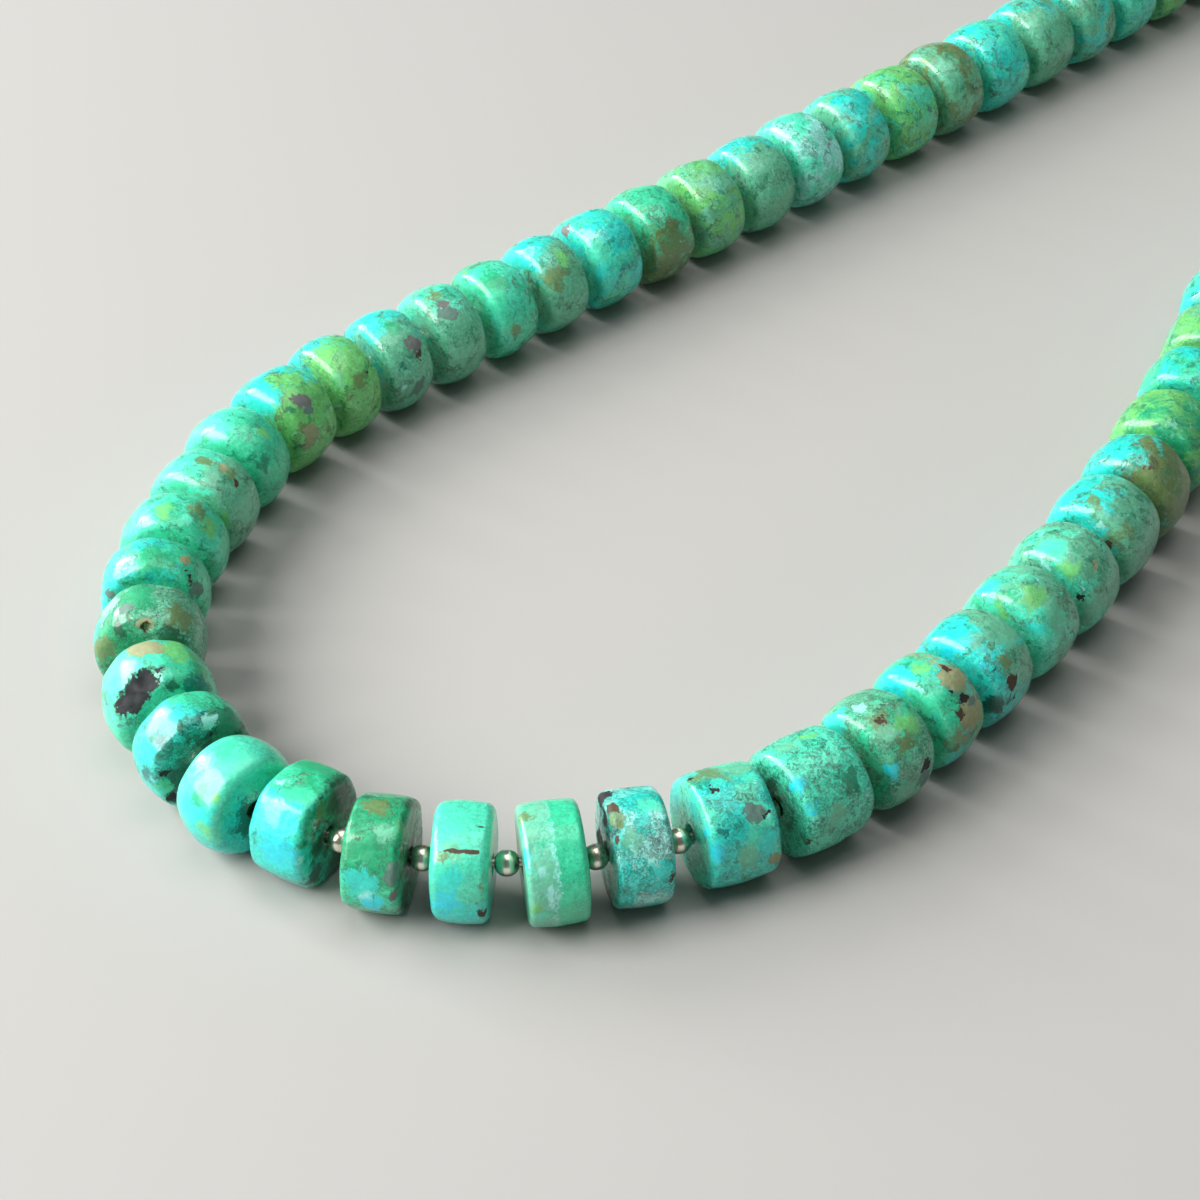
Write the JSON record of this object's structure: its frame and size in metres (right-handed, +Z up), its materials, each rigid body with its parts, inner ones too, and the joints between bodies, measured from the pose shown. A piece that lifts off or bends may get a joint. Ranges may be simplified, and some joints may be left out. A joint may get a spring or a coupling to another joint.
{
  "type": "heishi necklace",
  "caption": "Closed loop of drilled turquoise heishi wheels with small round metal spacers on a wire, lying flat with its neck opening clear.",
  "frame": {"origin": "on the surface that the necklace lies on, under the middle of its loop", "axes": "+Z up from the surface, +Y along the loop's long way towards its hidden back, -Y towards its front bend, +X towards the right limb"},
  "size_m": [0.0782, 0.2034, 0.0098],
  "materials": {
    "turquoise": "polished stone in aqua, mint, sage and emerald greens with brown matrix",
    "spacer_metal": "polished pale champagne metal"
  },
  "bodies": {
    "root": {"stone_01": "turquoise", "stone_02": "turquoise", "stone_03": "turquoise", "stone_04": "turquoise", "stone_05": "turquoise", "stone_06": "turquoise", "stone_07": "turquoise", "stone_08": "turquoise", "stone_09": "turquoise", "stone_10": "turquoise", "stone_11": "turquoise", "stone_12": "turquoise", "stone_13": "turquoise", "stone_14": "turquoise", "stone_15": "turquoise", "stone_16": "turquoise", "stone_17": "turquoise", "stone_18": "turquoise", "stone_19": "turquoise", "stone_20": "turquoise", "stone_21": "turquoise", "stone_22": "turquoise", "stone_23": "turquoise", "stone_24": "turquoise", "stone_25": "turquoise", "stone_26": "turquoise", "stone_27": "turquoise", "stone_28": "turquoise", "stone_29": "turquoise", "stone_30": "turquoise", "stone_31": "turquoise", "stone_32": "turquoise", "stone_33": "turquoise", "stone_34": "turquoise", "stone_35": "turquoise", "stone_36": "turquoise", "stone_37": "turquoise", "stone_38": "turquoise", "stone_39": "turquoise", "stone_40": "turquoise", "front_string": "spacer_metal", "back_string_left": "turquoise", "back_string_right": "turquoise", "clasp": "spacer_metal"}
  },
  "joints": []
}
